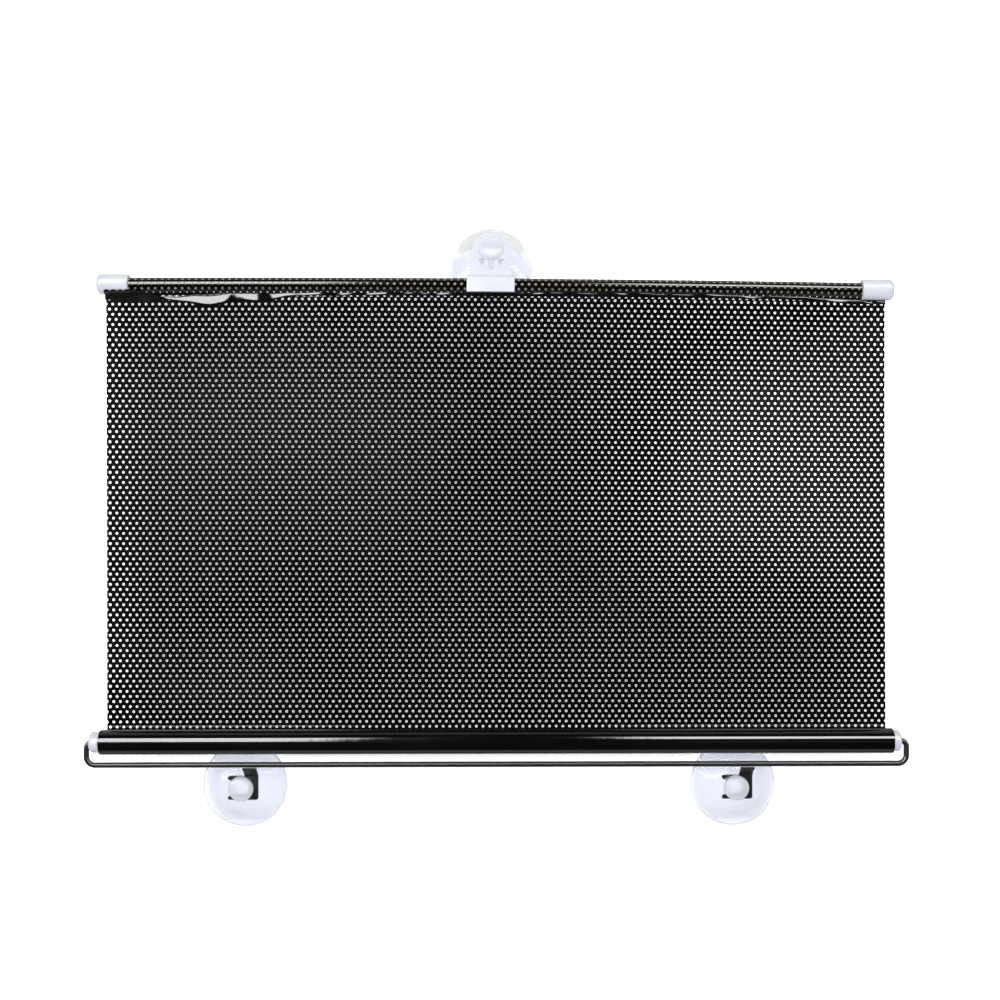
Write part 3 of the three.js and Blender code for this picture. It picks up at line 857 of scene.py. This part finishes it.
roll_cloth = perforated("roll_cloth", film_columns, roll_rows, roll_place, roll_normals)
finish_piece(roll_cloth, "roller", film_look, "black_film", "film_roll")
core_outer = ROLL_RADIUS - ROLL_LAP - CORE_GAP
core_profile = [
    (CORE_BORE, -ROLL_HALF), (core_outer, -ROLL_HALF), (core_outer, ROLL_HALF), (CORE_BORE, ROLL_HALF),
    (CORE_BORE, -ROLL_HALF),
]
roll_core = lathe("roll_core", core_profile, 96, ROLLER)
finish_piece(roll_core, "roller", film_look, "black_film")

# Roller ends

FLIP = Matrix.Rotation(math.pi, 4, "Z")


def plug(name, flange, matrix):
    """A bored end plug with a chamfered flange."""
    chamfer = 1.2
    bore = WIRE_RADIUS + 0.3
    profile = [
        (bore, -12), (3.1, -12), (3.9, -11.2), (3.9, 0), (PLUG_RADIUS - 0.25, 0), (PLUG_RADIUS, 0.25),
        (PLUG_RADIUS, flange - chamfer - 0.2), (PLUG_RADIUS - 0.15, flange - chamfer + 0.15),
        (PLUG_RADIUS - chamfer, flange - 0.12), (PLUG_RADIUS - chamfer - 0.3, flange),
        (bore + 0.35, flange), (bore, flange - 0.3), (bore, -12),
    ]
    return lathe(name, profile, 64, matrix)


plug_face = (ROLL_HALF + 0.3) * MM
plug_left = plug("end_plug_left", 5.6, ROLLER @ Matrix.Translation((-plug_face, 0, 0)) @ FLIP)
plug_right = plug("end_plug_right", 4.2, ROLLER @ Matrix.Translation((plug_face, 0, 0)))
finish_piece(plug_left, "roller", white_look, "white_plastic", "plug_left")
finish_piece(plug_right, "roller", white_look, "white_plastic", "plug_right")


def bail_path():
    """The wire's middle line, from its left tip round under the roll to its right tip."""
    top, bottom = 3.2, 4.8
    low = bottom - BAIL_DROP
    left = arc(top - BAIL_HALF, -top, top, 90, 180, 10) + arc(bottom - BAIL_HALF, low, bottom, 180, 270, 14)
    right = arc(BAIL_HALF - bottom, low, bottom, 270, 360, 14) + arc(BAIL_HALF - top, -top, top, 0, 90, 10)
    run = [(WIRE_TIPS[0], 0.0)] + left + right + [(WIRE_TIPS[1], 0.0)]
    return [(x, 0, z) for x, z in run]


bail_wire = tube("bail_wire", bail_path(), WIRE_RADIUS, 32, ROLLER)
finish_piece(bail_wire, "bail", paint_look, "black_steel", "wire_bail")

# Rail: rod and caps

rod_half = RAIL_HALF - CAP_WALL - ROD_END_GAP
rod_edge = ROD_RADIUS - 0.5
rod_run = [(ROD_RADIUS, x) for x in np.linspace(0.5 - rod_half, rod_half - 0.5, 41)]
rod_profile = [(0, -rod_half), (rod_edge, -rod_half), *rod_run, (rod_edge, rod_half), (0, rod_half)]
rod = lathe("rod", rod_profile, 64, RAIL)
for vertex in rod.data.vertices:
    vertex.co.z += bow(vertex.co.x)
finish_piece(rod, "rail", wood_look, "pale_wood", "rail_rod")


def cap(name, matrix):
    """A rounded cap with three shallow rings and a bore for the rod's end."""
    round_edge = 2.4
    profile = [(0, 0)]
    profile += [(CAP_RADIUS - round_edge + r, x) for r, x in arc(0, round_edge, round_edge, -90, 0, 12)]
    for ring in (12.6, 13.9, 15.2):
        profile += [(CAP_RADIUS, ring - 0.3), (CAP_RADIUS - 0.06, ring), (CAP_RADIUS, ring + 0.3)]
    profile += [(CAP_RADIUS, CAP_LENGTH - 0.5), (CAP_RADIUS - 0.15, CAP_LENGTH - 0.15), (CAP_RADIUS - 0.5, CAP_LENGTH),
                (CAP_BORE + 0.4, CAP_LENGTH), (CAP_BORE, CAP_LENGTH - 0.4), (CAP_BORE, CAP_WALL), (0, CAP_WALL)]
    return lathe(name, profile, 72, matrix)


cap_left = cap("end_cap_left", RAIL @ Matrix.Translation((-RAIL_HALF * MM, 0, 0)))
cap_right = cap("end_cap_right", RAIL @ Matrix.Translation((RAIL_HALF * MM, 0, 0)) @ FLIP)
finish_piece(cap_left, "rail", white_look, "white_plastic", "rail_cap_left")
finish_piece(cap_right, "rail", white_look, "white_plastic", "rail_cap_right")

# Clip and its tongue

CLIP = RAIL @ Matrix.Translation((CLIP_OFFSET * MM, 0, 0))
TONGUE_FOOT = Matrix.Translation((0, 0, (CLIP_INNER + CLIP_WALL) * MM)) @ Matrix.Rotation(-TONGUE_TILT, 4, "X")


def clip_grip():
    """The C round the hemmed rod, drawn in (y, z) and run along the rail."""
    outer = CLIP_INNER + CLIP_WALL
    arm = math.degrees(math.asin(CLIP_ARM_DROP / CLIP_INNER))
    ledge = math.degrees(math.asin(CLIP_LEDGE / outer))
    outline = arc(0, 0, outer, -arm, 136, 28) + [(-CLIP_FRONT, CLIP_LEDGE), (-CLIP_FRONT, -CLIP_ARM_DROP)]
    outline += arc(0, 0, CLIP_INNER, 180 + arm, -arm, 28)
    along_rail = Matrix(((0, 0, 1, 0), (1, 0, 0, 0), (0, 1, 0, 0), (0, 0, 0, 1)))
    return placed(plate("clip_grip", [outline], CLIP_WIDTH, 0.3), along_rail @ Matrix.Rotation(-math.pi / 2, 4, "X"))


def clip_tongue():
    """The tongue that leans back from the clip, with a keyhole and two small windows."""
    half = TONGUE_WIDTH / 2
    outline = [(-half, -CLIP_WALL), (half, -CLIP_WALL)]
    outline += [(half * math.cos(a), TONGUE_RISE + TONGUE_CROWN * math.sin(a)) for a in np.linspace(0, math.pi, 40)]
    meets = math.degrees(math.asin(FINGER_SLOT / 2 / KEYHOLE_RADIUS))
    keyhole = arc(0, TONGUE_RISE, KEYHOLE_RADIUS, meets - 90, 270 - meets, 40)
    keyhole += [(-FINGER_SLOT / 2, TONGUE_RISE - FINGER_DEPTH), (FINGER_SLOT / 2, TONGUE_RISE - FINGER_DEPTH)]
    windows = []
    top = TONGUE_RISE - KEYHOLE_RADIUS - 1.6
    edge = FINGER_SLOT / 2 + 2.4
    for side in (-1, 1):
        windows.append([(side * edge, top), (side * (edge + 3.6), top),
                        (side * (edge + 1.2), TONGUE_RISE - FINGER_DEPTH + 1.8)])
    return placed(plate("clip_tongue", [outline, keyhole, *windows], TONGUE_THICKNESS, 0.35), TONGUE_FOOT)


grip = placed(clip_grip(), CLIP)
tongue = placed(clip_tongue(), CLIP)
finish_piece(grip, "rail", white_look, "white_plastic", "hook_clip")
finish_piece(tongue, "rail", white_look, "white_plastic")


# Suction cups

def suction_cup(name, matrix):
    """A cup about X: rim plane at 0, knob towards +X, with the moulding's rings on the bell."""
    radius = CUP_RADIUS
    edge = radius - CUP_LIP
    profile = [(edge * s, CUP_HOLLOW * (1 - s * s)) for s in np.linspace(0, 1, 15)[:-1]]
    profile += [(edge, 0.0), (radius - 0.2, 0.0), (radius, 0.2)]
    for i in range(33):
        s = i / 32
        rise = math.sin(s * math.pi / 2) ** 1.6
        ring = 0.03 * math.cos(s * 32 * math.pi / 4) * (1 - s) * min(1, 6 * s)
        profile.append((radius + (6.6 - radius) * s, 0.9 + 8.9 * rise + ring))
    profile += [(5.4, 10.1), (4.4, 10.6), (4.0, 11.3), (4.0, 13.6), (6.5, 13.6), (6.9, 13.8), (7.0, 14.3)]
    profile += [(7.0 * math.cos(a), 16.4 + 2.2 * math.sin(a)) for a in np.linspace(0, math.pi / 2, 14)[:-1]]
    profile += [(0, 18.6)]
    return lathe(name, profile, 96, matrix, crease=50)


CUP_TURN = Matrix.Rotation(-math.pi / 2, 4, "Z")


def lower_cup_place(node):
    """A lower cup's place, with its rim on the solid's back."""
    low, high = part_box(node)
    centre = (low + high) / 2
    return Matrix.Translation((centre.x, high.y, centre.z)) @ CUP_TURN


top_place = CLIP @ TONGUE_FOOT @ Matrix.Translation((0, TOP_CUP_DEPTH * MM, TONGUE_RISE * MM)) @ CUP_TURN
for name, body, place in (
    ("cup_left", "bail", lower_cup_place("cup_left")),
    ("cup_right", "bail", lower_cup_place("cup_right")),
    ("cup_top", "rail", top_place),
):
    cup = suction_cup("vinyl_" + name, place)
    finish_piece(cup, body, clear_look, "clear_vinyl", name)
    cup.data.materials.append(knob_look)
    cup.data.materials.append(lip_look)
    own = place.inverted()
    for face in cup.data.polygons:
        centre = own @ face.center / MM
        on_rim = centre.x < RIM_HEIGHT and math.hypot(centre.y, centre.z) > RIM_INNER
        if centre.x > CUP_NECK:
            face.material_index = 1
        if KNOB_SIDE[0] < centre.x < KNOB_SIDE[1] or on_rim:
            face.material_index = 2

# Nodes whose shape is right keep it
for node, look in (
    ("bracket_left", paint_look),
    ("bracket_right", paint_look),
    ("spring_arbor", steel_look),
    ("torsion_spring", steel_look),
    ("spring_anchor", white_look),
    ("roller_tube", board_look),
):
    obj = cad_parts[node]
    for slot in obj.material_slots:
        slot.material = look
    if node.startswith("bracket"):
        bevel = obj.modifiers.new("edge", "BEVEL")
        bevel.width = 0.18 * MM
        bevel.segments = 2
        bevel.limit_method = "ANGLE"
        bevel.angle_limit = math.radians(35)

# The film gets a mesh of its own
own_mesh(film_cloth)
